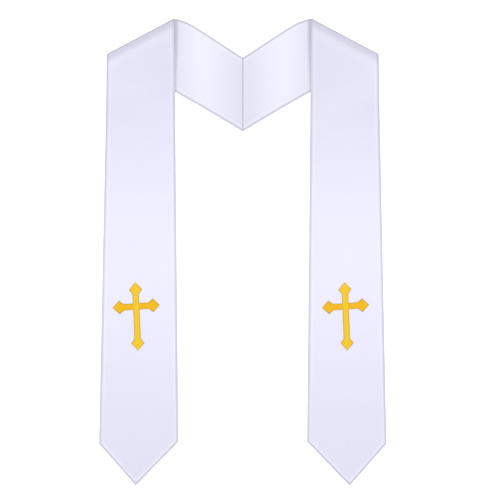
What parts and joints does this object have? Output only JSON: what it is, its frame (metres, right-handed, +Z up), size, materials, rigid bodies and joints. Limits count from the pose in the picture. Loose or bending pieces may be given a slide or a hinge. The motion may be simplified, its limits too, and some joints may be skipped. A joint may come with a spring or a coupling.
{
  "type": "clerical stole",
  "caption": "White satin clerical stole laid flat: a lined neck band folded at the shoulders into front panels with pointed hems and raised gold crosses.",
  "frame": {"origin": "on the surface the stole lies on, under the middle of its bounding box: on the line of the centre-back seam, halfway between the shoulder folds and the points of the hems", "axes": "+X across the stole, to the right as it is seen from above with the crosses upright; +Y along the front panels, from the hems to the neck; +Z up from the surface"},
  "size_m": [0.4654, 0.7562, 0.0082],
  "materials": {
    "satin_face": "smooth white satin with a cool cast and a soft sheen",
    "satin_lining": "plain white lining satin, as cool as the face",
    "gold_embroidery": "raised satin stitch in glossy golden-yellow thread"
  },
  "bodies": {
    "root": {"face_left": "satin_face", "face_right": "satin_face", "lining_left": "satin_lining", "lining_right": "satin_lining", "cross_left": "gold_embroidery", "cross_right": "gold_embroidery"}
  },
  "joints": []
}
